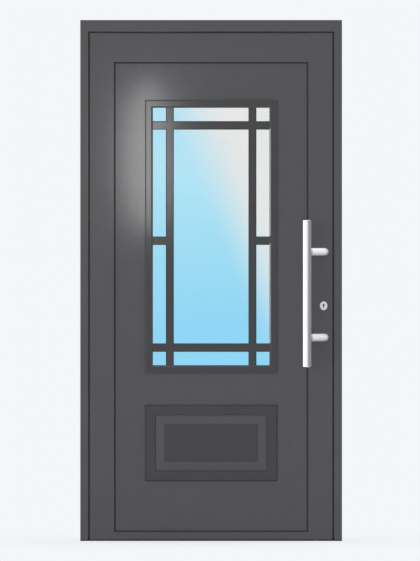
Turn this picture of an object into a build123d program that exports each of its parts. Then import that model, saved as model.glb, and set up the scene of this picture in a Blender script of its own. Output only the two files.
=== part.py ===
from build123d import *
import os

# An inward-opening PVC entrance door hung in its frame.
# X runs right as seen from outside, Y runs indoors and Z runs up.
# The origin is on the underside of the threshold, in the middle of the frame.

# Door set and frame, in millimetres
door_width = 1055.0
door_height = 2100.0
frame_depth = 70.0
jamb_face = 32.0
head_face = 47.0
frame_lip_depth = 24.0
threshold_height = 5.0
threshold_nosing = 3.0
profile_round = 2.0
lip_chamfer = 1.5

# Leaf profiles and the room round the leaf
leaf_depth = 70.0
leaf_setback = 4.0
leaf_gap = 6.0
leaf_overlap = 12.0
stile_face = 98.5
top_rail_face = 117.0
bottom_rail_face = 25.5
seal_height = 4.0
seal_width = 6.0
seal_inset = 0.5
seal_clearance = 5.0
seat_clearance = 0.3

# Infill panel, its gasket and its beads
lip_thickness = 6.0
lip_overlap = 12.0
gasket_thickness = 2.5
gasket_line = 5.0
gasket_nose = 3.0
gasket_tuck = 10.0
panel_thickness = 44.0
panel_edge_gap = 3.0
bead_width = 22.0
bead_edge = 6.0

# Window in the panel
window_width = 532.0
window_top_margin = 152.5
window_bottom_margin = 128.5
surround_face = 31.0
surround_rise = 10.5
surround_edge = 7.0
surround_round = 2.5
surround_bevel = 6.0
surround_cover = 14.0
glass_recess = 10.0
pane_thickness = 4.0
pane_edge_gap = 3.0
spacer_width = 12.0
spacer_inset = 1.0

# Bars on the glass
side_pane = 52.5
end_pane = 54.0
upright_bar = 32.0
cross_bar = 34.0
bar_height = 12.5
bar_bevel = 3.0
short_bar_drop = 17.0

# Fielded cassette below the window
cassette_width = 532.0
cassette_height = 307.0
cassette_centre_z = 395.5
cassette_band = 40.0
cassette_slope = 36.0
cassette_base = 3.0
cassette_rise = 9.0
cassette_bevel = 4.0

# Pull bar on cranked posts
pull_bar_inset = 103.0
pull_bar_radius = 16.5
pull_bar_bottom = 701.0
pull_bar_length = 593.0
pull_bar_edge = 2.0
post_foot_inset = 31.5
post_radius = 15.5
post_rise = 20.0
post_bend_radius = 36.0
post_bottom_inset = 119.0
post_top_inset = 129.0

# Lock cylinder and its cover outside
lock_backset = 36.0
lock_z = 948.0
cylinder_radius = 11.0
cylinder_proud = 2.0
keyway_width = 2.5
keyway_height = 10.0
keyway_depth = 8.0
cover_width = 31.0
cover_height = 36.0
cover_thickness = 9.0
cover_bevel = 2.5
keyhole_width = 9.0
keyhole_height = 16.0
keyhole_slot = 5.0

# Lever handle indoors
backplate_width = 32.0
backplate_height = 240.0
backplate_thickness = 9.0
backplate_bevel = 2.0
backplate_rise = 52.0
spindle_rise = 92.0
lever_radius = 10.0
lever_reach = 50.0
lever_length = 125.0
lever_bend_radius = 20.0
lever_tip_bevel = 3.0

# Lock edge: faceplate, bolts and strike plates
faceplate_width = 20.0
faceplate_thickness = 3.0
faceplate_margin = 150.0
bolt_thickness = 12.0
bolt_height = 34.0
bolt_depth = 6.0
bolt_margin = 420.0
strike_width = 24.0
strike_height = 180.0
strike_pocket = 9.0

# Hinges
hinge_margin = 220.0
hinge_height = 100.0
hinge_knuckle_height = 39.0
hinge_running_gap = 1.0
hinge_barrel_radius = 9.0
hinge_pin_radius = 5.0
hinge_pin_clearance = 0.2
hinge_cap_height = 4.0
hinge_cap_bevel = 1.5
hinge_barrel_clearance = 5.0
hinge_frame_plate = 6.0
hinge_leaf_plate = 7.0
hinge_leaf_plate_width = 47.0
hinge_plate_margin = 1.0
hinge_plate_inset = 12.0
hinge_root_width = 6.0

# Screw holes through the jambs into the wall
fixing_radius = 4.0
fixing_margin = 150.0
fixing_count = 4

# Planes of the closed door, counted indoors from the middle of the frame
frame_front = -frame_depth / 2
frame_back = frame_depth / 2
frame_step = frame_front + frame_lip_depth
leaf_front = frame_front + leaf_setback
leaf_back = leaf_front + leaf_depth
flange_front = frame_step + seal_height + seal_clearance
panel_front = leaf_front + lip_thickness + gasket_thickness
panel_back = panel_front + panel_thickness
panel_middle = (panel_front + panel_back) / 2
glass_front = panel_front + glass_recess
glass_back = panel_back - glass_recess
lock_y = (flange_front + leaf_back) / 2

# Half widths and heights of the closed door
frame_side = door_width / 2
jamb_lip_x = frame_side - jamb_face
leaf_side = jamb_lip_x - leaf_gap
flange_side = leaf_side + leaf_overlap
jamb_rebate_x = flange_side + leaf_gap
lip_side = leaf_side - stile_face
rebate_side = lip_side + lip_overlap
head_lip_z = door_height - head_face
leaf_top = head_lip_z - leaf_gap
flange_top = leaf_top + leaf_overlap
head_rebate_z = flange_top + leaf_gap
leaf_bottom = threshold_height + leaf_gap
lip_top = leaf_top - top_rail_face
rebate_top = lip_top + lip_overlap
lip_bottom = leaf_bottom + bottom_rail_face
rebate_bottom = lip_bottom - lip_overlap
daylight_width = 2 * lip_side
daylight_height = lip_top - lip_bottom
daylight_centre_z = (lip_top + lip_bottom) / 2

# Heights and places of what is set out on the leaf
lock_x = leaf_side - lock_backset
spindle_z = lock_z + spindle_rise
backplate_centre_z = lock_z + backplate_rise
pull_bar_x = leaf_side - pull_bar_inset
pull_bar_top = pull_bar_bottom + pull_bar_length
post_foot_x = leaf_side - post_foot_inset
post_heights = (pull_bar_bottom + post_bottom_inset, pull_bar_top - post_top_inset)
window_top = lip_top - window_top_margin
window_bottom = cassette_centre_z + cassette_height / 2 + window_bottom_margin
window_height = window_top - window_bottom
window_centre_z = (window_top + window_bottom) / 2
bolt_heights = (leaf_bottom + bolt_margin, backplate_centre_z, leaf_top - bolt_margin)
hinge_heights = (leaf_bottom + hinge_margin, (leaf_bottom + leaf_top) / 2, leaf_top - hinge_margin)
fixing_bottom = threshold_height + fixing_margin
fixing_top = head_rebate_z - fixing_margin
fixing_pitch = (fixing_top - fixing_bottom) / (fixing_count - 1)

os.makedirs("parts", exist_ok=True)


def save(shape, node):
    export_step(shape, f"parts/{node}.step")


def block(x0, x1, y0, y1, z0, z1):
    size = Box(x1 - x0, y1 - y0, z1 - z0, align=(Align.MIN, Align.MIN, Align.MIN))
    return Pos(x0, y0, z0) * size


def outline(*corners):
    """A closed profile, where a third number rounds that corner."""
    shape = Polygon(*[corner[:2] for corner in corners], align=None)
    for corner in corners:
        if len(corner) == 3:
            vertex = shape.vertices().sort_by_distance((corner[0], corner[1], 0))[0]
            shape = fillet(vertex, corner[2])
    return shape


def upright(section, z0, z1):
    """A profile drawn in X and Y, run up from z0 to z1."""
    return extrude(Pos(0, 0, z0) * section, amount=z1 - z0, dir=(0, 0, 1))


def level(section, x0, x1):
    """A profile drawn in Y and Z, run across from x0 to x1."""
    return extrude(Plane.YZ.offset(x0) * section, amount=x1 - x0, dir=(1, 0, 0))


def through(section, y0, y1):
    """A shape drawn in X and Z, run indoors from y0 to y1."""
    return extrude(Plane.XZ.offset(-y0) * section, amount=y1 - y0, dir=(0, 1, 0))


def mirrored(shape):
    """The same piece on the other side of the middle of the door."""
    return mirror(shape, about=Plane.YZ)


def indoors(shape):
    """The same piece on the indoor face of the panel."""
    return mirror(shape, about=Plane.XZ.offset(-panel_middle))


def round_rod(path, radius):
    """A round bar along a path of straight runs and tangent arcs."""
    section = Plane(origin=path @ 0, z_dir=path % 0) * Circle(radius)
    return sweep(section, path=path)


def mitred_ring(section, face, width, height, centre_z, joint=0.0):
    """Four mitred sides of a rectangular ring, from one profile.

    The profile is drawn in Y and in the distance from the ring's outer edge."""
    sides = {}
    turns = {"bottom": 0, "left": 90, "top": 180, "right": 270}
    for name, turn in turns.items():
        across = name in ("bottom", "top")
        length = (width if across else height) - joint
        reach = (height if across else width) / 2
        bar = level(section, -length / 2, length / 2)
        half = length / 2
        mitre = Polygon((-half, 0), (half, 0), (half - face, face), (face - half, face), align=None)
        bar = bar & through(mitre, -door_width, door_width)
        sides[name] = Pos(0, 0, centre_z) * Rot(0, turn, 0) * Pos(0, 0, -reach) * bar
    return sides


# Threshold: a low aluminium strip under the whole frame, with a sloped nosing outside
threshold_section = outline(
    (frame_front, 0),
    (frame_back, 0),
    (frame_back, threshold_height),
    (frame_front + threshold_nosing, threshold_height),
    (frame_front, threshold_height - threshold_nosing),
)
save(level(threshold_section, -frame_side, frame_side), "threshold")

# Frame head: the lip outside covers the leaf's flange, and the rebate behind it is open below
head_section = outline(
    (frame_front, door_height, profile_round),
    (frame_front, head_lip_z, profile_round),
    (frame_step, head_lip_z),
    (frame_step, head_rebate_z),
    (frame_back, head_rebate_z, profile_round),
    (frame_back, door_height),
)
frame_head = level(head_section, -frame_side, frame_side)
save(frame_head, "frame_head")

# Frame jambs: the same profile on edge, coped to the head, with screw holes in the rebate
jamb_section = outline(
    (frame_side, frame_front, profile_round),
    (jamb_lip_x, frame_front, profile_round),
    (jamb_lip_x, frame_step),
    (jamb_rebate_x, frame_step),
    (jamb_rebate_x, frame_back, profile_round),
    (frame_side, frame_back),
)
jamb = upright(jamb_section, threshold_height, head_rebate_z) - frame_head
fixing_y = (frame_step + frame_back) / 2
fixing_hole = level(Pos(fixing_y, fixing_bottom) * Circle(fixing_radius), jamb_rebate_x, frame_side)
for number in range(fixing_count):
    jamb = jamb - Pos(0, 0, number * fixing_pitch) * fixing_hole
save(mirrored(jamb), "frame_jamb_left")

# Strike plates let into the right jamb, each with a slot over a pocket for its bolt
strike_plates = []
jamb_right = jamb
for z in bolt_heights:
    seat_y0 = lock_y - strike_width / 2
    seat_y1 = lock_y + strike_width / 2
    seat_z0 = z - strike_height / 2
    seat_z1 = z + strike_height / 2
    plate = block(
        jamb_rebate_x, jamb_rebate_x + faceplate_thickness, seat_y0, seat_y1, seat_z0, seat_z1
    )
    slot = block(
        jamb_rebate_x,
        jamb_rebate_x + strike_pocket,
        lock_y - bolt_thickness / 2 - seat_clearance,
        lock_y + bolt_thickness / 2 + seat_clearance,
        z - bolt_height / 2 - seat_clearance,
        z + bolt_height / 2 + seat_clearance,
    )
    jamb_right = jamb_right - plate - slot
    strike_plates.append(plate - slot)
save(jamb_right, "frame_jamb_right")
save(Compound(children=strike_plates), "strike_plates")

# Frame seal: a rounded rubber strip on the step of the jambs and the head
seal_x = jamb_lip_x + seal_inset
seal_z = head_lip_z + seal_inset
seal_face = frame_step + seal_height
seal_round = seal_width / 2 - seat_clearance
seal_section = outline(
    (seal_x, frame_step),
    (seal_x, seal_face, seal_round),
    (seal_x + seal_width, seal_face, seal_round),
    (seal_x + seal_width, frame_step),
)
seal_side = upright(seal_section, threshold_height, seal_z - seat_clearance)
seal_head_section = outline(
    (frame_step, seal_z),
    (seal_face, seal_z, seal_round),
    (seal_face, seal_z + seal_width, seal_round),
    (frame_step, seal_z + seal_width),
)
seal_head = level(seal_head_section, -seal_x - seal_width, seal_x + seal_width)
save(Compound(children=[mirrored(seal_side), seal_side, seal_head]), "frame_seal")

# Leaf stiles: outer lip over the panel, flange behind the frame's lip, rebate for panel and beads
stile_section = outline(
    (leaf_side, leaf_front, profile_round),
    (lip_side, leaf_front),
    (lip_side, leaf_front + lip_thickness),
    (rebate_side, leaf_front + lip_thickness),
    (rebate_side, leaf_back),
    (flange_side, leaf_back, profile_round),
    (flange_side, flange_front),
    (leaf_side, flange_front),
)
stile = upright(stile_section, leaf_bottom, flange_top)
stile = stile - block(0, door_width, leaf_front, flange_front, leaf_top, flange_top)
lip_corner = outline(
    (lip_side, leaf_front),
    (lip_side + lip_chamfer, leaf_front),
    (lip_side, leaf_front + lip_chamfer),
)
stile = stile - upright(lip_corner, lip_bottom, lip_top)
save(mirrored(stile), "leaf_stile_left")

# Lock faceplate: a steel strip let into the edge of the right stile, with bolts drawn back flush
faceplate = block(
    flange_side - faceplate_thickness,
    flange_side,
    lock_y - faceplate_width / 2,
    lock_y + faceplate_width / 2,
    leaf_bottom + faceplate_margin,
    leaf_top - faceplate_margin,
)
lock_stile = stile - faceplate
lock_bolts = []
for z in bolt_heights:
    bolt = block(
        flange_side - bolt_depth,
        flange_side,
        lock_y - bolt_thickness / 2,
        lock_y + bolt_thickness / 2,
        z - bolt_height / 2,
        z + bolt_height / 2,
    )
    mouth = block(
        flange_side - bolt_depth,
        flange_side,
        lock_y - bolt_thickness / 2 - seat_clearance,
        lock_y + bolt_thickness / 2 + seat_clearance,
        z - bolt_height / 2 - seat_clearance,
        z + bolt_height / 2 + seat_clearance,
    )
    faceplate = faceplate - mouth
    lock_stile = lock_stile - mouth
    lock_bolts.append(bolt)
save(faceplate, "lock_faceplate")
save(Compound(children=lock_bolts), "lock_bolts")

# Lock stile: bored for the round lock cylinder
cylinder_bore = through(
    Pos(lock_x, lock_z) * Circle(cylinder_radius + seat_clearance), leaf_front, leaf_back
)
save(lock_stile - cylinder_bore, "leaf_stile_right")

# Leaf rails: coped between the stiles
top_rail_section = outline(
    (leaf_front, leaf_top, profile_round),
    (leaf_front, lip_top + lip_chamfer),
    (leaf_front + lip_chamfer, lip_top),
    (leaf_front + lip_thickness, lip_top),
    (leaf_front + lip_thickness, rebate_top),
    (leaf_back, rebate_top),
    (leaf_back, flange_top, profile_round),
    (flange_front, flange_top),
    (flange_front, leaf_top),
)
bottom_rail_section = outline(
    (leaf_front, leaf_bottom),
    (leaf_front, lip_bottom - lip_chamfer),
    (leaf_front + lip_chamfer, lip_bottom),
    (leaf_front + lip_thickness, lip_bottom),
    (leaf_front + lip_thickness, rebate_bottom),
    (leaf_back, rebate_bottom),
    (leaf_back, leaf_bottom),
)
rails = {"leaf_rail_top": top_rail_section, "leaf_rail_bottom": bottom_rail_section}
for node, section in rails.items():
    rail = level(section, -rebate_side, rebate_side)
    save(rail - stile - mirrored(stile), node)

# Infill panel: an insulated board with the window cut through it
aperture_width = window_width - 2 * surround_cover
aperture_height = window_height - 2 * surround_cover
panel = block(
    panel_edge_gap - rebate_side,
    rebate_side - panel_edge_gap,
    panel_front,
    panel_back,
    rebate_bottom + panel_edge_gap,
    rebate_top - panel_edge_gap,
)
aperture = Pos(0, window_centre_z) * Rectangle(aperture_width, aperture_height)
save(panel - through(aperture, panel_front, panel_back), "door_panel")

# Panel gasket: a black wedge tucked behind the lip, its nose showing as a thin line
lip_back = leaf_front + lip_thickness
gasket_section = outline(
    (lip_back, 0),
    (lip_back, gasket_tuck),
    (lip_back - gasket_nose, gasket_tuck),
    (lip_back - gasket_nose, gasket_tuck + gasket_line, gasket_line / 2),
    (panel_front, gasket_tuck + gasket_line),
    (panel_front, 0),
)
gasket = mitred_ring(
    gasket_section,
    gasket_tuck + gasket_line,
    daylight_width + 2 * gasket_tuck,
    daylight_height + 2 * gasket_tuck,
    daylight_centre_z,
    seat_clearance,
)
save(Compound(children=list(gasket.values())), "panel_gasket")

# Panel beads: sloped mitred strips that hold the panel from indoors
bead_section = outline(
    (panel_back, 0),
    (panel_back, bead_width),
    (panel_back + bead_edge, bead_width, profile_round),
    (leaf_back, bead_edge, profile_round),
    (leaf_back, 0),
)
beads = mitred_ring(
    bead_section,
    bead_width,
    2 * rebate_side,
    rebate_top - rebate_bottom,
    (rebate_top + rebate_bottom) / 2,
)
for side, bead in beads.items():
    save(bead, f"panel_bead_{side}")

# Glass unit: two panes on a spacer, standing in the panel's aperture
pane_width = aperture_width - 2 * pane_edge_gap
pane_height = aperture_height - 2 * pane_edge_gap
pane_outline = Pos(0, window_centre_z) * Rectangle(pane_width, pane_height)
save(through(pane_outline, glass_front, glass_front + pane_thickness), "glass_pane_outside")
save(through(pane_outline, glass_back - pane_thickness, glass_back), "glass_pane_inside")
spacer_section = outline(
    (glass_front + pane_thickness, 0),
    (glass_front + pane_thickness, spacer_width),
    (glass_back - pane_thickness, spacer_width),
    (glass_back - pane_thickness, 0),
)
spacer = mitred_ring(
    spacer_section,
    spacer_width,
    pane_width - 2 * spacer_inset,
    pane_height - 2 * spacer_inset,
    window_centre_z,
    seat_clearance,
)
save(Compound(children=list(spacer.values())), "glass_spacer")

# Window surround: mitred mouldings that clamp the glass unit from both faces of the panel
surround_face_y = panel_front - surround_rise
surround_section = outline(
    (panel_front, 0),
    (panel_front - surround_edge, 0, surround_round),
    (surround_face_y, surround_edge / 2, surround_round),
    (surround_face_y, surround_face - surround_bevel, surround_round),
    (surround_face_y + surround_bevel, surround_face),
    (glass_front, surround_face),
    (glass_front, surround_cover + seat_clearance),
    (panel_front, surround_cover + seat_clearance),
)
surround = mitred_ring(
    surround_section, surround_face, window_width, window_height, window_centre_z
)
for side, member in surround.items():
    save(member, f"surround_outside_{side}")
    save(indoors(member), f"surround_inside_{side}")

# Glazing bars: bevelled strips on the glass, two uprights with the cross bars coped to them
glass_side = window_width / 2 - surround_face
glass_top = window_centre_z + window_height / 2 - surround_face
glass_bottom = window_centre_z - window_height / 2 + surround_face
bar_face_y = glass_front - bar_height
upright_x = glass_side - side_pane - upright_bar / 2
half_upright = upright_bar / 2
upright_section = outline(
    (upright_x - half_upright, glass_front),
    (upright_x - half_upright, bar_face_y + bar_bevel),
    (upright_x - half_upright + bar_bevel, bar_face_y),
    (upright_x + half_upright - bar_bevel, bar_face_y),
    (upright_x + half_upright, bar_face_y + bar_bevel),
    (upright_x + half_upright, glass_front),
)
bar_right = upright(upright_section, glass_bottom, glass_top)
bar_left = mirrored(bar_right)


def cross_piece(z, x0, x1):
    half = cross_bar / 2
    section = outline(
        (glass_front, z - half),
        (bar_face_y + bar_bevel, z - half),
        (bar_face_y, z - half + bar_bevel),
        (bar_face_y, z + half - bar_bevel),
        (bar_face_y + bar_bevel, z + half),
        (glass_front, z + half),
    )
    return level(section, x0, x1)


upper_z = glass_top - end_pane - cross_bar / 2
lower_z = glass_bottom + end_pane + cross_bar / 2
cross_pieces = []
for z in (upper_z, lower_z):
    whole = cross_piece(z, -glass_side, glass_side)
    cross_pieces.extend((whole - bar_left - bar_right).solids())
short_bar = cross_piece(window_centre_z - short_bar_drop, upright_x, glass_side) - bar_right
cross_pieces.extend([short_bar, mirrored(short_bar)])
bars = {
    "bar_left": bar_left,
    "bar_right": bar_right,
    "bars_cross": Compound(children=cross_pieces),
}
for node, bar in bars.items():
    save(bar, f"{node}_outside")
    save(indoors(bar), f"{node}_inside")

# Cassette: a raised band round a fielded centre, moulded in one plate
cassette_centre = Pos(0, cassette_centre_z)
cassette_back_y = panel_front - cassette_base
cassette_face_y = panel_front - cassette_rise
plate_outline = cassette_centre * Rectangle(cassette_width, cassette_height)
inner_width = cassette_width - 2 * cassette_band
inner_height = cassette_height - 2 * cassette_band
inner_outline = cassette_centre * Rectangle(inner_width, inner_height)
field_width = inner_width - 2 * cassette_slope
field_height = inner_height - 2 * cassette_slope
field_outline = cassette_centre * Rectangle(field_width, field_height)
band = through(plate_outline, cassette_face_y, panel_front)
band = chamfer(band.faces().sort_by(Axis.Y)[0].edges(), cassette_bevel)
tray = through(inner_outline, cassette_face_y, cassette_back_y)
foot_sketch = Plane.XZ.offset(-cassette_back_y) * inner_outline
field_sketch = Plane.XZ.offset(-cassette_face_y) * field_outline
cassette = band - tray + loft([foot_sketch, field_sketch])
save(cassette, "cassette_outside")
save(indoors(cassette), "cassette_inside")

# Pull bar: a round steel bar held off the lock stile by two cranked posts
pull_bar_y = leaf_front - post_rise - (post_foot_x - pull_bar_x)
pull_bar = Pos(pull_bar_x, pull_bar_y, pull_bar_bottom) * Cylinder(
    pull_bar_radius, pull_bar_length, align=(Align.CENTER, Align.CENTER, Align.MIN)
)
pull_bar = chamfer(pull_bar.edges().filter_by(GeomType.CIRCLE), pull_bar_edge)
save(pull_bar, "pull_bar")
saddle = Pos(pull_bar_x, pull_bar_y, pull_bar_bottom) * Cylinder(
    pull_bar_radius + seat_clearance / 2,
    pull_bar_length,
    align=(Align.CENTER, Align.CENTER, Align.MIN),
)
for node, z in zip(("pull_bar_post_lower", "pull_bar_post_upper"), post_heights):
    post_path = FilletPolyline(
        (post_foot_x, leaf_front, z),
        (post_foot_x, leaf_front - post_rise, z),
        (pull_bar_x, pull_bar_y, z),
        radius=post_bend_radius,
    )
    save(round_rod(post_path, post_radius) - saddle, node)

# Lock cylinder: a round barrel through the stile with a keyway at each end
plate_face_y = leaf_back + backplate_thickness
cylinder_back = plate_face_y + cylinder_proud
lock_centre = Pos(lock_x, lock_z)
keyway = lock_centre * Rectangle(keyway_width, keyway_height)
cylinder = through(lock_centre * Circle(cylinder_radius), leaf_front, cylinder_back)
cylinder = cylinder - through(keyway, leaf_front, leaf_front + keyway_depth)
cylinder = cylinder - through(keyway, cylinder_back - keyway_depth, cylinder_back)
save(cylinder, "lock_cylinder")

# Lock cover outside: a domed oval with a keyhole
cover = through(
    lock_centre * Ellipse(cover_width / 2, cover_height / 2), leaf_front - cover_thickness, leaf_front
)
cover = chamfer(cover.faces().sort_by(Axis.Y)[0].edges(), cover_bevel)
keyhole_radius = keyhole_width / 2
keyhole_top = keyhole_height / 2 - keyhole_radius
keyhole = Pos(0, keyhole_top) * Circle(keyhole_radius)
keyhole_leg = Pos(0, keyhole_top / 2 - keyhole_height / 4) * Rectangle(
    keyhole_slot, keyhole_top + keyhole_height / 2
)
keyhole = lock_centre * (keyhole + keyhole_leg)
save(cover - through(keyhole, leaf_front - cover_thickness, leaf_front), "lock_cover_outside")

# Lever handle indoors: a long backplate round the cylinder and the bent lever above it
backplate_outline = Pos(lock_x, backplate_centre_z) * RectangleRounded(
    backplate_width, backplate_height, backplate_width / 2 - seat_clearance
)
backplate = through(backplate_outline, leaf_back, plate_face_y)
backplate = chamfer(backplate.faces().sort_by(Axis.Y)[-1].edges(), backplate_bevel)
plate_bore = through(lock_centre * Circle(cylinder_radius + seat_clearance), leaf_back, plate_face_y)
save(backplate - plate_bore, "lever_backplate")
lever_path = FilletPolyline(
    (lock_x, plate_face_y, spindle_z),
    (lock_x, plate_face_y + lever_reach, spindle_z),
    (lock_x - lever_length, plate_face_y + lever_reach, spindle_z),
    radius=lever_bend_radius,
)
lever = round_rod(lever_path, lever_radius)
lever = chamfer(lever.faces().sort_by(Axis.X)[0].edges(), lever_tip_bevel)
save(lever, "lever_handle")

# Hinges indoors on the left: knuckles on the jamb above and below, one on the leaf between them
hinge_x = -(flange_side + leaf_gap / 2)
hinge_y = leaf_back + hinge_barrel_clearance + hinge_barrel_radius
barrel = Pos(hinge_x, hinge_y) * Circle(hinge_barrel_radius)
pin_bore = Pos(hinge_x, hinge_y) * Circle(hinge_pin_radius + hinge_pin_clearance)
jamb_plate = outline(
    (hinge_plate_margin - frame_side, frame_back),
    (-jamb_rebate_x - hinge_plate_margin, frame_back),
    (-jamb_rebate_x - hinge_plate_margin, frame_back + hinge_frame_plate),
    (hinge_plate_margin - frame_side, frame_back + hinge_frame_plate, profile_round),
)
leaf_plate_x = hinge_plate_inset - flange_side
leaf_plate = outline(
    (leaf_plate_x, leaf_back),
    (leaf_plate_x + hinge_leaf_plate_width, leaf_back),
    (leaf_plate_x + hinge_leaf_plate_width, leaf_back + hinge_leaf_plate, profile_round),
    (leaf_plate_x, leaf_back + hinge_leaf_plate),
)
leaf_root = outline(
    (leaf_plate_x, leaf_back),
    (leaf_plate_x + hinge_root_width, leaf_back),
    (leaf_plate_x + hinge_root_width, leaf_back + hinge_leaf_plate),
    (leaf_plate_x, leaf_back + hinge_leaf_plate),
)
jamb_knuckle = make_hull((barrel + jamb_plate).edges()) - pin_bore
leaf_knuckle = make_hull((barrel + leaf_root).edges()) - pin_bore
jamb_halves = []
leaf_halves = []
pins = []
for z in hinge_heights:
    bottom = z - hinge_height / 2
    top = z + hinge_height / 2
    knuckle_bottom = z - hinge_knuckle_height / 2
    knuckle_top = z + hinge_knuckle_height / 2
    jamb_half = upright(jamb_plate, bottom, top)
    jamb_half = jamb_half + upright(jamb_knuckle, bottom, knuckle_bottom - hinge_running_gap)
    jamb_half = jamb_half + upright(jamb_knuckle, knuckle_top + hinge_running_gap, top)
    jamb_halves.append(jamb_half)
    leaf_half = upright(leaf_plate, bottom, top)
    leaf_half = leaf_half + upright(leaf_knuckle, knuckle_bottom, knuckle_top)
    leaf_halves.append(leaf_half)
    pin = upright(Pos(hinge_x, hinge_y) * Circle(hinge_pin_radius), bottom, top)
    cap_top = upright(barrel, top, top + hinge_cap_height)
    cap_top = chamfer(cap_top.faces().sort_by(Axis.Z)[-1].edges(), hinge_cap_bevel)
    cap_bottom = upright(barrel, bottom - hinge_cap_height, bottom)
    cap_bottom = chamfer(cap_bottom.faces().sort_by(Axis.Z)[0].edges(), hinge_cap_bevel)
    pins.append(pin + cap_top + cap_bottom)
save(Compound(children=jamb_halves), "hinge_jamb_halves")
save(Compound(children=leaf_halves), "hinge_leaf_halves")
save(Compound(children=pins), "hinge_pins")
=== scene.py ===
import math

import bpy
from mathutils import Matrix, Vector


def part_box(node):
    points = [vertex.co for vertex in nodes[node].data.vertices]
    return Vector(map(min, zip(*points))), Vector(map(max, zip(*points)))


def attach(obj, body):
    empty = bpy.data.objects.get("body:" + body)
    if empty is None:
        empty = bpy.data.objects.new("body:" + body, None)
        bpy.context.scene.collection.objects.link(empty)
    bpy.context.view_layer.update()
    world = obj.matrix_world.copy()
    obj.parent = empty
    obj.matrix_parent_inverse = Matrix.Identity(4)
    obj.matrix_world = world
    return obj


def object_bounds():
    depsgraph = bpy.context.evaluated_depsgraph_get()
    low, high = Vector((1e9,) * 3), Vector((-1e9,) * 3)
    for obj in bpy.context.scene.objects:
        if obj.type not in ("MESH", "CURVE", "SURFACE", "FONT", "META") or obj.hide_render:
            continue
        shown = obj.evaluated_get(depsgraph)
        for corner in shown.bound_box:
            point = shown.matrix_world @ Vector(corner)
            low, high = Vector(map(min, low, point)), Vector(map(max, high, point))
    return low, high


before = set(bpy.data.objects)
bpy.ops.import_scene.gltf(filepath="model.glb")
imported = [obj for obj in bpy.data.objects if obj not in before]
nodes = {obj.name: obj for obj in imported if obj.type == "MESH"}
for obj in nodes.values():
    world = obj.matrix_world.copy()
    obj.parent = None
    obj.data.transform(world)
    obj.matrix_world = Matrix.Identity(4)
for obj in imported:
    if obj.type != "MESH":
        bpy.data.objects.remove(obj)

cad_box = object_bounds()

# Frame and leaf profiles
# Hollow PVC extrusions welded at the corners, with a smooth anthracite film laminated on to every
# face. Leaf, infill panel and glazing beads have the same film as the frame.


def colour(code):
    """An sRGB hex colour as linear red, green, blue and alpha."""
    channels = [int(code[i:i + 2], 16) / 255 for i in (1, 3, 5)]
    linear = [c / 12.92 if c <= 0.04045 else ((c + 0.055) / 1.055) ** 2.4 for c in channels]
    return (*linear, 1.0)


def add(tree, kind, inputs=None, stops=None, **settings):
    """A shader node with its settings, its sockets set or linked, and a ramp's stops."""
    node = tree.nodes.new(kind)
    for name, value in settings.items():
        setattr(node, name, value)
    for socket, value in (inputs or {}).items():
        if isinstance(value, bpy.types.NodeSocket):
            tree.links.new(value, node.inputs[socket])
        else:
            node.inputs[socket].default_value = value
    if stops:
        elements = node.color_ramp.elements
        while len(elements) < len(stops):
            elements.new(1.0)
        for element, (at, code) in zip(elements, stops):
            element.position = at
            element.color = colour(code)
    return node


def new_material(name):
    """A material with its node tree, its surface shader and the object's own coordinates."""
    material = bpy.data.materials.new(name)
    material.use_nodes = True
    tree = material.node_tree
    surface = tree.nodes["Principled BSDF"]
    place = add(tree, "ShaderNodeTexCoord").outputs["Object"]
    return material, tree, surface, place


def dress(material, *names):
    """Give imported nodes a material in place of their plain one."""
    for name in names:
        mesh = nodes[name].data
        mesh.materials.clear()
        mesh.materials.append(material)


# Laminated PVC film: pebbles under a millimetre across, drawn at 3 mm so that they show,
# over a slow change of tone a hand wide that keeps large faces from looking flat.
FILM_PEBBLE = 0.003
FILM_CLOUD = 0.12
FILM_RELIEF = 0.00004
FILM_ROUGHNESS = (0.24, 0.28)


def laminated_film(name, dark, light):
    """The film's material, with what a second tone needs to be mixed in."""
    material, tree, surface, place = new_material(name)
    cloud = add(tree, "ShaderNodeTexNoise", {"Vector": place, "Scale": 1 / FILM_CLOUD, "Detail": 3.0})
    pebble = add(tree, "ShaderNodeTexNoise", {"Vector": place, "Scale": 1 / FILM_PEBBLE, "Detail": 2.0})
    tone = add(tree, "ShaderNodeValToRGB", {"Fac": cloud.outputs["Fac"]},
               stops=[(0.35, dark), (0.65, light)])
    gloss = add(tree, "ShaderNodeMapRange", {
        "Value": pebble.outputs["Fac"], "From Min": 0.3, "From Max": 0.7,
        "To Min": FILM_ROUGHNESS[0], "To Max": FILM_ROUGHNESS[1]})
    relief = add(tree, "ShaderNodeBump", {
        "Height": pebble.outputs["Fac"], "Strength": 0.3, "Distance": FILM_RELIEF})
    tree.links.new(tone.outputs["Color"], surface.inputs["Base Color"])
    tree.links.new(gloss.outputs["Result"], surface.inputs["Roughness"])
    tree.links.new(relief.outputs["Normal"], surface.inputs["Normal"])
    surface.inputs["IOR"].default_value = 1.5
    return material, tree, surface, place, tone.outputs["Color"]


SIDES = ("left", "right", "top", "bottom")
anthracite_film = laminated_film("laminated_pvc_anthracite", "#434345", "#454547")[0]
dress(anthracite_film, "frame_jamb_left", "frame_jamb_right", "frame_head")
dress(anthracite_film, "leaf_stile_left", "leaf_stile_right", "leaf_rail_top", "leaf_rail_bottom")
dress(anthracite_film, "door_panel", *[f"panel_bead_{side}" for side in SIDES])

# Threshold
# A low strip of extruded aluminium, anodised dark and screwed to the floor under the frame.
# Fine ribs run along it against slipping, and feet have scuffed it in patches.
RIB_PITCH = 0.005
RIB_RELIEF = 0.0004
SCUFF_SIZE = 0.04
WAVE_NODE_FACTOR = 20

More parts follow.
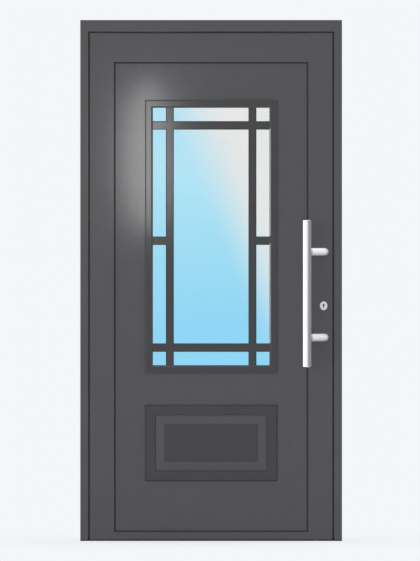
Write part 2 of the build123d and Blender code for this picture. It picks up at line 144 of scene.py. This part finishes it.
dark_anodised, tree, surface, place = new_material("anodised_aluminium_dark")
ribs = add(tree, "ShaderNodeTexWave", {"Vector": place, "Scale": math.tau / (WAVE_NODE_FACTOR * RIB_PITCH)},
           bands_direction="Y", wave_profile="SIN")
relief = add(tree, "ShaderNodeBump", {
    "Height": ribs.outputs["Fac"], "Strength": 0.6, "Distance": RIB_RELIEF})
scuff = add(tree, "ShaderNodeTexNoise", {"Vector": place, "Scale": 1 / SCUFF_SIZE, "Detail": 5.0})
tone = add(tree, "ShaderNodeValToRGB", {"Fac": scuff.outputs["Fac"]},
           stops=[(0.35, "#3c3c3e"), (0.7, "#4c4c4e")])
tree.links.new(tone.outputs["Color"], surface.inputs["Base Color"])
tree.links.new(relief.outputs["Normal"], surface.inputs["Normal"])
surface.inputs["Metallic"].default_value = 0.6
surface.inputs["Roughness"].default_value = 0.45
dress(dark_anodised, "threshold")

# Seals
# Black EPDM rubber, extruded and pushed into the profiles: round the frame's rebate and the panel.
# It is matt, with a chalky bloom in patches.
BLOOM_SIZE = 0.015

rubber, tree, surface, place = new_material("epdm_rubber_black")
bloom = add(tree, "ShaderNodeTexNoise", {"Vector": place, "Scale": 1 / BLOOM_SIZE, "Detail": 4.0})
tone = add(tree, "ShaderNodeValToRGB", {"Fac": bloom.outputs["Fac"]},
           stops=[(0.4, "#171719"), (0.75, "#242426")])
tree.links.new(tone.outputs["Color"], surface.inputs["Base Color"])
surface.inputs["Roughness"].default_value = 0.7
dress(rubber, "frame_seal", "panel_gasket")

# Bottom strip
# A PVC strip in the leaf's film, clipped under the leaf from side to side. Its foot lies against the
# rail, and its lip hangs flush with the leaf's face and just clears the threshold's screws.
FOOT_DEPTH = 0.014
FOOT_HEIGHT = 0.0015
LIP_THICKNESS = 0.003
LIP_CLEARANCE = 0.0009
LIP_ROUNDING = 0.00045
SIDE_INSET = 0.0005

bpy.context.view_layer.update()
rail_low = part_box("leaf_rail_bottom")[0]
threshold_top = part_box("threshold")[1].z
beside_y = rail_low.y + FOOT_DEPTH / 2
beside_z = rail_low.z + FOOT_HEIGHT
leaf_left = nodes["leaf_stile_left"].ray_cast((-1, beside_y, beside_z), (1, 0, 0))[1].x + SIDE_INSET
leaf_right = nodes["leaf_stile_right"].ray_cast((1, beside_y, beside_z), (-1, 0, 0))[1].x - SIDE_INSET
leaf_middle = (leaf_left + leaf_right) / 2
foot_bottom = rail_low.z - FOOT_HEIGHT
lip_back = rail_low.y + LIP_THICKNESS
bpy.ops.object.select_all(action="DESELECT")
bpy.ops.mesh.primitive_cube_add(
    size=1, location=(leaf_middle, beside_y, rail_low.z - FOOT_HEIGHT / 2),
    scale=(leaf_right - leaf_left, FOOT_DEPTH, FOOT_HEIGHT))
bottom_strip = bpy.context.object
bottom_strip.name = "bottom_strip"
bpy.ops.object.transform_apply(location=True, rotation=True, scale=True)
bpy.ops.object.mode_set(mode="EDIT")
bpy.ops.mesh.select_mode(type="FACE")
bpy.ops.mesh.select_all(action="SELECT")
bpy.ops.mesh.bisect(plane_co=(0, lip_back, 0), plane_no=(0, 1, 0))
bpy.ops.mesh.select_all(action="DESELECT")
bpy.ops.object.mode_set(mode="OBJECT")
for face in bottom_strip.data.polygons:
    face.select = face.normal.z < -0.9 and face.center.y < lip_back
bpy.ops.object.mode_set(mode="EDIT")
lip_drop = foot_bottom - threshold_top - LIP_CLEARANCE
bpy.ops.mesh.extrude_region_move(TRANSFORM_OT_translate={"value": (0, 0, -lip_drop)})
bpy.ops.mesh.bevel(offset=LIP_ROUNDING, segments=2, affect="EDGES")
bpy.ops.object.mode_set(mode="OBJECT")
bottom_strip.data.materials.append(anthracite_film)
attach(bottom_strip, "leaf")

# Bottom seal
# A rubber fin on a flat foot, screwed under the leaf's indoor edge from side to side.
# It closes the slit, just clears the threshold and ends behind the lips of the jambs.
FIN_Y = 0.026
FIN_FOOT_DEPTH = 0.010
FIN_THICKNESS = 0.0024
FIN_CLEARANCE = 0.0001

flange_z = rail_low.z + FIN_FOOT_DEPTH
flange_left = nodes["leaf_stile_left"].ray_cast((-1, FIN_Y, flange_z), (1, 0, 0))[1].x + SIDE_INSET
flange_right = nodes["leaf_stile_right"].ray_cast((1, FIN_Y, flange_z), (-1, 0, 0))[1].x - SIDE_INSET
bpy.ops.object.select_all(action="DESELECT")
bpy.ops.mesh.primitive_cube_add(
    size=1, location=((flange_left + flange_right) / 2, FIN_Y, rail_low.z - FOOT_HEIGHT / 2),
    scale=(flange_right - flange_left, FIN_FOOT_DEPTH, FOOT_HEIGHT))
bottom_seal = bpy.context.object
bottom_seal.name = "bottom_seal"
bpy.ops.object.transform_apply(location=True, rotation=True, scale=True)
bpy.ops.object.mode_set(mode="EDIT")
bpy.ops.mesh.select_mode(type="FACE")
for fin_side in (FIN_Y - FIN_THICKNESS / 2, FIN_Y + FIN_THICKNESS / 2):
    bpy.ops.mesh.select_all(action="SELECT")
    bpy.ops.mesh.bisect(plane_co=(0, fin_side, 0), plane_no=(0, 1, 0))
bpy.ops.mesh.select_all(action="DESELECT")
bpy.ops.object.mode_set(mode="OBJECT")
for face in bottom_seal.data.polygons:
    face.select = face.normal.z < -0.9 and abs(face.center.y - FIN_Y) < FIN_THICKNESS / 2
bpy.ops.object.mode_set(mode="EDIT")
fin_drop = foot_bottom - threshold_top - FIN_CLEARANCE
bpy.ops.mesh.extrude_region_move(TRANSFORM_OT_translate={"value": (0, 0, -fin_drop)})
bpy.ops.object.mode_set(mode="OBJECT")
bottom_seal.data.materials.append(rubber)
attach(bottom_seal, "leaf")

# Window surround and glazing bars
# Moulded strips a shade darker than the leaf, mitred round the glass and taped on to its panes. Their
# skin is as smooth as the laminated film's. The surround's sloped edges get painted light: the leaf's
# lighter tone, painted on against the shade that falls there.
TONE_REACH = 0.1
PAINTED_LIGHT_OUTER_SLOPE = 0.0036
SURROUND_WIDTH = 0.0312
PAINTED_LIGHT_INNER_SLOPE = 0.0062


def two_tone_and_painted_light_film(name, low, high, stops):
    """A darker film, with the leaf's lighter tone where the stops, inward from the box's edge, are white.
    On the surround's sloped edges this lighter tone is painted light.
    """
    material, tree, surface, place, tone = laminated_film(name, "#303032", "#323234")
    half = (high - low) / 2
    centred = add(tree, "ShaderNodeMapping", {"Vector": place, "Location": -(low + high) / 2})
    axes = add(tree, "ShaderNodeSeparateXYZ", {"Vector": centred.outputs["Vector"]})
    across = add(tree, "ShaderNodeMath", {0: axes.outputs["X"]}, operation="ABSOLUTE")
    upward = add(tree, "ShaderNodeMath", {0: axes.outputs["Z"]}, operation="ABSOLUTE")
    beside = add(tree, "ShaderNodeMath", {0: half.x, 1: across.outputs[0]}, operation="SUBTRACT")
    above = add(tree, "ShaderNodeMath", {0: half.z, 1: upward.outputs[0]}, operation="SUBTRACT")
    inward = add(tree, "ShaderNodeMath", {0: beside.outputs[0], 1: above.outputs[0]}, operation="MINIMUM")
    spread = add(tree, "ShaderNodeMapRange", {"Value": inward.outputs[0], "From Max": TONE_REACH})
    share = add(tree, "ShaderNodeValToRGB", {"Fac": spread.outputs["Result"]},
                stops=[(at / TONE_REACH, code) for at, code in stops])
    share.color_ramp.interpolation = "CONSTANT"
    # On the surround's sloped edges the lighter tone is painted light, against the shade that falls there.
    film_tone_with_painted_light = add(tree, "ShaderNodeMix", {0: share.outputs["Color"], 6: tone, 7: colour("#444446")},
                 data_type="RGBA")
    tree.links.new(film_tone_with_painted_light.outputs[2], surface.inputs["Base Color"])
    return material


# Painted light: the surround's sloped outer and inner edges get the leaf's lighter tone.
moulding_with_painted_light_slopes = two_tone_and_painted_light_film(
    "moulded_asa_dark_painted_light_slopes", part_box("surround_outside_left")[0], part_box("surround_outside_right")[1],
    [(0.0, "#ffffff"), (PAINTED_LIGHT_OUTER_SLOPE, "#000000"),
     (SURROUND_WIDTH - PAINTED_LIGHT_INNER_SLOPE, "#ffffff"), (SURROUND_WIDTH, "#000000")])
for side_of_door in ("outside", "inside"):
    dress(moulding_with_painted_light_slopes, *[f"surround_{side_of_door}_{side}" for side in SIDES])
    dress(moulding_with_painted_light_slopes, *[f"{bar}_{side_of_door}" for bar in ("bar_left", "bar_right", "bars_cross")])

# Cassette
# One moulded plate under the window: a raised band, a sloped ring and a flat field in the middle.
# Band and field have the darker shade, and the ring between them has the leaf's.
BAND_WIDTH = 0.040
RING_WIDTH = 0.036

two_tone = two_tone_and_painted_light_film(
    "moulded_asa_two_tone", *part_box("cassette_outside"),
    [(0.0, "#000000"), (BAND_WIDTH, "#ffffff"), (BAND_WIDTH + RING_WIDTH, "#000000")])
dress(two_tone, "cassette_outside", "cassette_inside")

# Glass unit
# Two float panes on an aluminium spacer. The outer pane's colour is a painted reflection of blue sky,
# lighter upwards, that fades into a painted white glare towards the upper lock side.
PAINTED_GLARE_SLANT = math.radians(23)
PAINTED_SKY_HEIGHTS = (0.88, 1.48)
PAINTED_GLARE_SPAN = (0.48, 0.73)

sky_painted_glass, tree, surface, place = new_material("float_glass_painted_sky_reflection")
axes = add(tree, "ShaderNodeSeparateXYZ", {"Vector": place})
height = add(tree, "ShaderNodeMapRange", {
    "Value": axes.outputs["Z"], "From Min": PAINTED_SKY_HEIGHTS[0], "From Max": PAINTED_SKY_HEIGHTS[1]})
blue = add(tree, "ShaderNodeValToRGB", {"Fac": height.outputs["Result"]},
           stops=[(0.0, "#98dffe"), (0.5, "#a9e6fd"), (1.0, "#bdedfe")])
turned = add(tree, "ShaderNodeMapping", {"Vector": place, "Rotation": (0, PAINTED_GLARE_SLANT, 0)})
turned_axes = add(tree, "ShaderNodeSeparateXYZ", {"Vector": turned.outputs["Vector"]})
glare_share = add(tree, "ShaderNodeMapRange", {
    "Value": turned_axes.outputs["X"], "From Min": PAINTED_GLARE_SPAN[0], "From Max": PAINTED_GLARE_SPAN[1]},
    interpolation_type="SMOOTHSTEP")
# Painted reflection: the painted white glare is mixed over the painted blue sky along the slant.
tint = add(tree, "ShaderNodeMix", {
    0: glare_share.outputs["Result"], 6: blue.outputs["Color"], 7: colour("#f4f1ef")}, data_type="RGBA")
tree.links.new(tint.outputs[2], surface.inputs["Base Color"])
surface.inputs["Transmission Weight"].default_value = 1.0
surface.inputs["Roughness"].default_value = 0.0
surface.inputs["IOR"].default_value = 1.5
dress(sky_painted_glass, "glass_pane_outside")

# Clear float glass: the roller's faint waves show as a slow change of a very pale green.
ROLLER_WAVE = 0.2

clear_glass, tree, surface, place = new_material("float_glass_clear")
waves = add(tree, "ShaderNodeTexNoise", {"Vector": place, "Scale": 1 / ROLLER_WAVE})
tint = add(tree, "ShaderNodeValToRGB", {"Fac": waves.outputs["Fac"]},
           stops=[(0.3, "#f8fdfb"), (0.7, "#fcfffe")])
tree.links.new(tint.outputs["Color"], surface.inputs["Base Color"])
surface.inputs["Transmission Weight"].default_value = 1.0
surface.inputs["Roughness"].default_value = 0.0
surface.inputs["IOR"].default_value = 1.5
dress(clear_glass, "glass_pane_inside")

# Mill aluminium: rolled strip, left bare, with fine specks of a lighter grey.
SPECK_SIZE = 0.004

mill_aluminium, tree, surface, place = new_material("mill_aluminium")
rolled = add(tree, "ShaderNodeTexNoise", {"Vector": place, "Scale": 1 / SPECK_SIZE, "Detail": 2.0})
tone = add(tree, "ShaderNodeValToRGB", {"Fac": rolled.outputs["Fac"]},
           stops=[(0.3, "#bcbdbe"), (0.7, "#c8c9ca")])
tree.links.new(tone.outputs["Color"], surface.inputs["Base Color"])
surface.inputs["Metallic"].default_value = 1.0
surface.inputs["Roughness"].default_value = 0.4
dress(mill_aluminium, "glass_spacer")

# Highlight strips
# Two satin aluminium strips with rolled edges, stuck on the surround's sloped inner edge beside the
# long panes on the lock side. They are a painted highlight of the light which that edge catches.
HIGHLIGHT_STRIP_WIDTH = 0.0080
HIGHLIGHT_STRIP_THICKNESS = 0.0008
HIGHLIGHT_STRIP_INSET = 0.0028
HIGHLIGHT_STRIP_ROUNDING = 0.00024
HIGHLIGHT_STRIP_SPANS = ((0.798, 1.199), (1.231, 1.662))
CAST_START = 0.1

surround_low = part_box("surround_outside_right")[0]
highlight_strip_parts = []
for bottom, top in HIGHLIGHT_STRIP_SPANS:
    in_front = (surround_low.x + HIGHLIGHT_STRIP_INSET, surround_low.y - CAST_START, (bottom + top) / 2)
    seat, normal = nodes["surround_outside_right"].ray_cast(in_front, (0, 1, 0))[1:3]
    bpy.ops.object.select_all(action="DESELECT")
    bpy.ops.mesh.primitive_cube_add(
        size=1, location=seat + normal * HIGHLIGHT_STRIP_THICKNESS / 2,
        rotation=(0, 0, math.atan2(normal.x, -normal.y)),
        scale=(HIGHLIGHT_STRIP_WIDTH, HIGHLIGHT_STRIP_THICKNESS, top - bottom))
    bpy.ops.object.transform_apply(location=True, rotation=True, scale=True)
    bpy.ops.object.mode_set(mode="EDIT")
    bpy.ops.mesh.select_all(action="SELECT")
    bpy.ops.mesh.bevel(offset=HIGHLIGHT_STRIP_ROUNDING, segments=2, affect="EDGES")
    bpy.ops.object.mode_set(mode="OBJECT")
    highlight_strip_parts.append(bpy.context.object)
# The joined strips make one piece: the painted highlight on the surround's inner edge.
highlight_strip_parts[0].select_set(True)
bpy.ops.object.join()
highlight_strip = bpy.context.object
highlight_strip.name = "surround_painted_highlight_strips"
highlight_strip.data.materials.append(mill_aluminium)
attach(highlight_strip, "leaf")

# Pull bar, lever and lock furniture
# Stainless steel tube and plate, satin ground and screwed on through the leaf. Fine scratches run
# along the bar and the plates, and across the lever. Posts and lock cover are blasted to a duller satin.
SCRATCH_WIDTH = 0.0012
SCRATCH_LENGTH = 0.08
SCRATCH_RELIEF = 0.00001


def satin_steel(name, grain, dark, light, roughness=(0.20, 0.26)):
    """Ground stainless steel, with its scratches along the axis where grain is long."""
    material, tree, surface, place = new_material(name)
    stretched = add(tree, "ShaderNodeMapping", {"Vector": place, "Scale": [1 / size for size in grain]})
    scratch = add(tree, "ShaderNodeTexNoise", {
        "Vector": stretched.outputs["Vector"], "Scale": 1.0, "Detail": 3.0})
    tone = add(tree, "ShaderNodeValToRGB", {"Fac": scratch.outputs["Fac"]},
               stops=[(0.3, dark), (0.7, light)])
    gloss = add(tree, "ShaderNodeMapRange", {
        "Value": scratch.outputs["Fac"], "From Min": 0.3, "From Max": 0.7,
        "To Min": roughness[0], "To Max": roughness[1]})
    relief = add(tree, "ShaderNodeBump", {
        "Height": scratch.outputs["Fac"], "Strength": 0.3, "Distance": SCRATCH_RELIEF})
    tree.links.new(tone.outputs["Color"], surface.inputs["Base Color"])
    tree.links.new(gloss.outputs["Result"], surface.inputs["Roughness"])
    tree.links.new(relief.outputs["Normal"], surface.inputs["Normal"])
    surface.inputs["Metallic"].default_value = 1.0
    return material


UPRIGHT_GRAIN = (SCRATCH_WIDTH, SCRATCH_WIDTH, SCRATCH_LENGTH)
LEVEL_GRAIN = (SCRATCH_LENGTH, SCRATCH_WIDTH, SCRATCH_WIDTH)
bar_steel = satin_steel("satin_stainless_bar", UPRIGHT_GRAIN, "#dcdcde", "#e4e4e6")
post_steel = satin_steel(
    "blasted_stainless_post", LEVEL_GRAIN, "#eeeef0", "#f4f4f6", roughness=(0.58, 0.64))
upright_steel = satin_steel("satin_stainless_upright", UPRIGHT_GRAIN, "#d2d2d4", "#dadadc")
level_steel = satin_steel("satin_stainless_level", LEVEL_GRAIN, "#d2d2d4", "#dadadc")
dress(bar_steel, "pull_bar")
dress(post_steel, "pull_bar_post_lower", "pull_bar_post_upper", "lock_cover_outside")
dress(upright_steel, "lock_faceplate", "strike_plates", "lever_backplate")
dress(level_steel, "lever_handle", "lock_bolts")

# Lock cylinder
# A brass barrel, nickel plated to a dark grey, held in the leaf by one screw from its edge.
# Keys have rubbed its face in fine, lighter spots.
RUB_SIZE = 0.002

dark_nickel, tree, surface, place = new_material("nickel_plated_brass_dark")
rubbed = add(tree, "ShaderNodeTexNoise", {"Vector": place, "Scale": 1 / RUB_SIZE, "Detail": 4.0})
tone = add(tree, "ShaderNodeValToRGB", {"Fac": rubbed.outputs["Fac"]},
           stops=[(0.35, "#5c5b59"), (0.7, "#757471")])
tree.links.new(tone.outputs["Color"], surface.inputs["Base Color"])
surface.inputs["Metallic"].default_value = 1.0
surface.inputs["Roughness"].default_value = 0.32
dress(dark_nickel, "lock_cylinder")

# Hinges
# Die-cast zinc halves, powder coated to match the leaf, turning on steel pins with turned caps.
# The coat has the slight orange peel of sprayed powder.
PEEL_SIZE = 0.0015
PEEL_RELIEF = 0.00005

powder_coat, tree, surface, place = new_material("powder_coat_anthracite")
peel = add(tree, "ShaderNodeTexNoise", {"Vector": place, "Scale": 1 / PEEL_SIZE, "Detail": 1.0})
tone = add(tree, "ShaderNodeValToRGB", {"Fac": peel.outputs["Fac"]},
           stops=[(0.3, "#434345"), (0.7, "#474749")])
relief = add(tree, "ShaderNodeBump", {
    "Height": peel.outputs["Fac"], "Strength": 0.3, "Distance": PEEL_RELIEF})
tree.links.new(tone.outputs["Color"], surface.inputs["Base Color"])
tree.links.new(relief.outputs["Normal"], surface.inputs["Normal"])
surface.inputs["Roughness"].default_value = 0.38
dress(powder_coat, "hinge_jamb_halves", "hinge_leaf_halves")
dress(upright_steel, "hinge_pins")

# Screws
# Stainless countersunk screws with a six-lobed socket. They hold the hinges' leaf plates, the
# lever's backplate, the lock's faceplate, the strike plates and the threshold.
SCREW_RADIUS = 0.0042
SCREW_RISE = 0.0010
SCREW_CORNERS = 24
RIM_WIDTH = SCREW_RADIUS * 0.22
CROWN_RISE = 0.0003
FLAT_WIDTH = SCREW_RADIUS * 0.25
SOCKET_REACH = SCREW_RADIUS * 0.6
SOCKET_DEPTH = 0.0009
LOBE_WAIST = 0.72
CORNER_STEP = 360 / SCREW_CORNERS
LOBE_STEP = 360 / 6
HINGE_HEIGHTS = (0.231, 1.029, 1.827)
HINGE_SCREW_SIDES = (0.009, 0.029)
HINGE_SCREW_RISES = (-0.034, 0.034)
FACEPLATE_END = 0.012
FACEPLATE_HEIGHTS = (0.56, 0.86, 1.14, 1.46)
BACKPLATE_END = 0.014
STRIKE_HEIGHTS = (0.431, 1.000, 1.627)
STRIKE_SCREW_RISES = (-0.075, 0.075)
THRESHOLD_SCREWS = (-0.42, -0.14, 0.14, 0.42)
THRESHOLD_SCREW_Y = -0.015

bpy.ops.object.select_all(action="DESELECT")
bpy.ops.mesh.primitive_cylinder_add(vertices=SCREW_CORNERS, radius=SCREW_RADIUS, depth=SCREW_RISE)
screw = bpy.context.object
for face in screw.data.polygons:
    face.select = face.normal.z > 0.9
bpy.ops.object.mode_set(mode="EDIT")
bpy.ops.mesh.select_mode(type="FACE")
bpy.ops.mesh.inset(thickness=RIM_WIDTH)
bpy.ops.transform.translate(value=(0, 0, CROWN_RISE))
bpy.ops.mesh.inset(thickness=FLAT_WIDTH)
bpy.ops.mesh.select_mode(type="VERT")
bpy.ops.mesh.select_all(action="DESELECT")
bpy.ops.object.mode_set(mode="OBJECT")
for vertex in screw.data.vertices:
    in_lobe = (math.degrees(math.atan2(vertex.co.y, vertex.co.x)) + CORNER_STEP / 2) % LOBE_STEP
    vertex.select = vertex.co.xy.length < SOCKET_REACH and in_lobe < LOBE_STEP / 2
bpy.ops.object.mode_set(mode="EDIT")
bpy.ops.transform.resize(value=(LOBE_WAIST, LOBE_WAIST, 1.0))
bpy.ops.mesh.select_mode(type="FACE")
bpy.ops.mesh.select_all(action="DESELECT")
bpy.ops.object.mode_set(mode="OBJECT")
for face in screw.data.polygons:
    face.select = face.normal.z > 0.9 and face.center.xy.length < RIM_WIDTH / 2
bpy.ops.object.mode_set(mode="EDIT")
bpy.ops.mesh.extrude_region_move(TRANSFORM_OT_translate={"value": (0, 0, -SOCKET_DEPTH)})
bpy.ops.object.mode_set(mode="OBJECT")
screw.data.materials.append(level_steel)


def screwed(name, body, seats):
    """One piece of screws: each seat is a node, a point in front of it and the way in."""
    bpy.ops.object.select_all(action="DESELECT")
    for node, start, inward in seats:
        hit, seat = nodes[node].ray_cast(start, inward)[:2]
        if not hit:
            raise ValueError(f"no seat for a screw on {node} from {start}")
        turn = Vector((0, 0, 1)).rotation_difference(-Vector(inward)).to_matrix().to_4x4()
        mesh = screw.data.copy()
        mesh.transform(Matrix.Translation(seat) @ turn)
        copy = bpy.data.objects.new(name, mesh)
        bpy.context.scene.collection.objects.link(copy)
        copy.select_set(True)
        bpy.context.view_layer.objects.active = copy
    bpy.ops.object.join()
    piece = bpy.context.object
    piece.name = name
    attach(piece, body)


bpy.context.view_layer.update()
hinge_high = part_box("hinge_leaf_halves")[1]
faceplate_low, faceplate_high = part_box("lock_faceplate")
faceplate_y = (faceplate_low.y + faceplate_high.y) / 2
backplate_low, backplate_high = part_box("lever_backplate")
backplate_x = (backplate_low.x + backplate_high.x) / 2
strike_low, strike_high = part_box("strike_plates")
strike_y = (strike_low.y + strike_high.y) / 2
leaf_seats = []
for z in HINGE_HEIGHTS:
    for side in HINGE_SCREW_SIDES:
        for rise in HINGE_SCREW_RISES:
            in_front = (hinge_high.x - side, hinge_high.y + CAST_START, z + rise)
            leaf_seats.append(("hinge_leaf_halves", in_front, (0, -1, 0)))
for z in (faceplate_low.z + FACEPLATE_END, *FACEPLATE_HEIGHTS, faceplate_high.z - FACEPLATE_END):
    leaf_seats.append(("lock_faceplate", (faceplate_high.x + CAST_START, faceplate_y, z), (-1, 0, 0)))
for z in (backplate_low.z + BACKPLATE_END, backplate_high.z - BACKPLATE_END):
    leaf_seats.append(("lever_backplate", (backplate_x, backplate_high.y + CAST_START, z), (0, -1, 0)))
screwed("screws_leaf", "leaf", leaf_seats)
frame_seats = []
for z in STRIKE_HEIGHTS:
    for rise in STRIKE_SCREW_RISES:
        frame_seats.append(("strike_plates", (strike_low.x - CAST_START, strike_y, z + rise), (1, 0, 0)))
for x in THRESHOLD_SCREWS:
    frame_seats.append(("threshold", (x, THRESHOLD_SCREW_Y, threshold_top + CAST_START), (0, 0, -1)))
screwed("screws_frame", "frame", frame_seats)
bpy.data.objects.remove(screw)

# Floor
# A pale floor that runs into a plain page of the same shade, and keeps a faint shadow of the door.
# Only the part near the door takes light, so that no horizon shows.
PAGE = "#f4f6f8"
FLOOR_SIZE = 40.0
SHADOW_START = 0.5
SHADOW_REACH = 2.5
NEAR_GLOW = 0.7


def seen_by_eye(tree):
    """One where a ray comes from the camera, a reflection or glass, and nought elsewhere."""
    path = add(tree, "ShaderNodeLightPath").outputs
    seen = add(tree, "ShaderNodeMath", {0: path["Is Camera Ray"], 1: path["Is Glossy Ray"]},
               operation="MAXIMUM")
    seen = add(tree, "ShaderNodeMath", {0: seen.outputs[0], 1: path["Is Transmission Ray"]},
               operation="MAXIMUM")
    return seen.outputs[0]


bpy.ops.object.select_all(action="DESELECT")
bpy.ops.mesh.primitive_plane_add(size=FLOOR_SIZE, location=(0, 0, 0))
floor = bpy.context.object
floor.name = "floor"
floor_paint, tree, surface, place = new_material("pale_floor")
surface.inputs["Base Color"].default_value = colour(PAGE)
surface.inputs["Roughness"].default_value = 0.9
surface.inputs["Specular IOR Level"].default_value = 0.0
glow = add(tree, "ShaderNodeEmission", {"Color": colour(PAGE), "Strength": 1.0})
reach = add(tree, "ShaderNodeVectorMath", {0: place}, operation="LENGTH")
fade = add(tree, "ShaderNodeMapRange", {
    "Value": reach.outputs["Value"], "From Min": SHADOW_START, "From Max": SHADOW_REACH,
    "To Min": NEAR_GLOW, "To Max": 1.0})
share = add(tree, "ShaderNodeMath", {0: fade.outputs["Result"], 1: seen_by_eye(tree)},
            operation="MULTIPLY")
mix = add(tree, "ShaderNodeMixShader", {
    0: share.outputs[0], 1: surface.outputs["BSDF"], 2: glow.outputs["Emission"]})
tree.links.new(mix.outputs["Shader"], tree.nodes["Material Output"].inputs["Surface"])
floor.data.materials.append(floor_paint)

# Grey flag
# A narrow upright card close to the pull bar's right, which only reflections see.
# It shades that side of the round steel.
FLAG_GAP = 0.006
FLAG_DEPTH = 0.072
FLAG_FRONT = 0.033
FLAG_GLOW = 0.35

bar_low, bar_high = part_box("pull_bar")
bar_middle = (bar_low + bar_high) / 2
flag_y = bar_low.y - FLAG_FRONT + FLAG_DEPTH / 2
bpy.ops.object.select_all(action="DESELECT")
bpy.ops.mesh.primitive_plane_add(
    size=1, location=(bar_high.x + FLAG_GAP, flag_y, bar_middle.z),
    rotation=(math.radians(90), 0, math.radians(90)))
flag = bpy.context.object
flag.name = "grey_flag"
flag.scale = (FLAG_DEPTH, bar_high.z - bar_low.z, 1)
grey_paper = bpy.data.materials.new("grey_paper")
grey_paper.use_nodes = True
tree = grey_paper.node_tree
glow = add(tree, "ShaderNodeEmission", {"Color": colour("#ffffff"), "Strength": FLAG_GLOW})
tree.links.new(glow.outputs["Emission"], tree.nodes["Material Output"].inputs["Surface"])
flag.data.materials.append(grey_paper)
flag.visible_camera = False
flag.visible_diffuse = False
flag.visible_transmission = False
flag.visible_shadow = False

# World light
# An even pale surround gives the light level, and the eye sees it as the page.
# It is a little dimmer than the page, since the lamps add to it.
AMBIENT = 0.8

world = bpy.data.worlds.new("page")
bpy.context.scene.world = world
world.use_nodes = True
tree = world.node_tree
sky = tree.nodes["Background"]
sky.inputs["Color"].default_value = colour("#ffffff")
sky.inputs["Strength"].default_value = AMBIENT
page = add(tree, "ShaderNodeBackground", {"Color": colour(PAGE), "Strength": 1.0})
mix = add(tree, "ShaderNodeMixShader", {
    0: seen_by_eye(tree), 1: sky.outputs["Background"], 2: page.outputs["Background"]})
tree.links.new(mix.outputs["Shader"], tree.nodes["World Output"].inputs["Surface"])

# Studio lamps
# A wide soft lamp from the left and another indoors. A tall narrow strip close to the leaf makes the
# long soft gleam on its upper left, a strip whitens the pull bar's left, and one above lights its posts.
DOOR_MIDDLE = (0, 0, 1.05)
SOFT_SIZE = (3.5, 3.5)
KEY_PLACE = (-3.0, -4.5, 1.7)
INDOOR_PLACE = (2.5, 5.0, 2.4)
GLEAM_PLACE = (-0.262, -0.63, 1.555)
GLEAM_TARGET = (-0.252, 0, 1.555)
GLEAM_SIZE = (0.18, 0.62)
POST_LAMP_PLACE = (0.43, -0.35, 2.08)
POST_TARGET_Y = -0.08
POST_LAMP_SIZE = (0.5, 0.5)


def lamp(name, place, target, size, power, lit=()):
    """An oval area lamp, aimed at a point and never seen itself, that may gleam on some pieces alone."""
    data = bpy.data.lights.new(name, "AREA")
    data.shape = "ELLIPSE"
    data.size, data.size_y = size
    data.energy = power
    item = bpy.data.objects.new(name, data)
    bpy.context.scene.collection.objects.link(item)
    aim = (Vector(target) - Vector(place)).to_track_quat("-Z", "Y")
    item.matrix_world = Matrix.Translation(place) @ aim.to_matrix().to_4x4()
    item.visible_camera = False
    item.visible_transmission = False
    if lit:
        receivers = bpy.data.collections.new(name)
        bpy.context.scene.collection.children.link(receivers)
        for piece in lit:
            receivers.objects.link(piece)
        item.light_linking.receiver_collection = receivers
        item.visible_diffuse = False
    return item


key = lamp("key_lamp", KEY_PLACE, DOOR_MIDDLE, SOFT_SIZE, power=85)
indoor = lamp("indoor_lamp", INDOOR_PLACE, DOOR_MIDDLE, SOFT_SIZE, power=100)
key.visible_glossy = False
indoor.visible_glossy = False
filmed = [node for node in nodes.values() if node.data.materials[0] in (anthracite_film, moulding_with_painted_light_slopes)]
lamp("gleam_lamp", GLEAM_PLACE, GLEAM_TARGET, GLEAM_SIZE, power=2.0, lit=filmed)
strip_x = bar_low.x - FLAG_GAP
bar_lamp = lamp(
    "bar_lamp", (strip_x, flag_y, bar_middle.z), (bar_middle.x, flag_y, bar_middle.z),
    (FLAG_DEPTH, bar_high.z - bar_low.z), power=0.19, lit=[nodes["pull_bar"]])
bar_lamp.data.shape = "RECTANGLE"
posts = [nodes["pull_bar_post_lower"], nodes["pull_bar_post_upper"]]
post_target = (POST_LAMP_PLACE[0], POST_TARGET_Y, bar_middle.z)
lamp("post_lamp", POST_LAMP_PLACE, post_target, POST_LAMP_SIZE, power=11.0, lit=posts)

# Camera
# A long lens, square on to the door, with the photograph's scale and margins.
# The scale comes from the door's own height and the rows where it starts and ends.
PHOTO_SIZE = (420, 561)
DOOR_TOP_PIXEL = 20
DOOR_BOTTOM_PIXEL = 541
DOOR_CENTRE_PIXEL = 211.15
LENS = 600.0
SENSOR = 24.0

pixel = (cad_box[1][2] - cad_box[0][2]) / (DOOR_BOTTOM_PIXEL - DOOR_TOP_PIXEL)
view_x = (PHOTO_SIZE[0] / 2 - DOOR_CENTRE_PIXEL) * pixel
view_z = (DOOR_BOTTOM_PIXEL - PHOTO_SIZE[1] / 2) * pixel
distance = PHOTO_SIZE[1] * pixel * LENS / SENSOR
camera_data = bpy.data.cameras.new("camera")
camera_data.lens = LENS
camera_data.sensor_fit = "VERTICAL"
camera_data.sensor_height = SENSOR
camera_data.clip_end = 200.0
camera = bpy.data.objects.new("camera", camera_data)
bpy.context.scene.collection.objects.link(camera)
camera.location = (view_x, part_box("frame_head")[0].y - distance, view_z)
camera.rotation_euler = (math.radians(90), 0, 0)
bpy.context.scene.camera = camera
bpy.context.scene.view_settings.view_transform = "Standard"
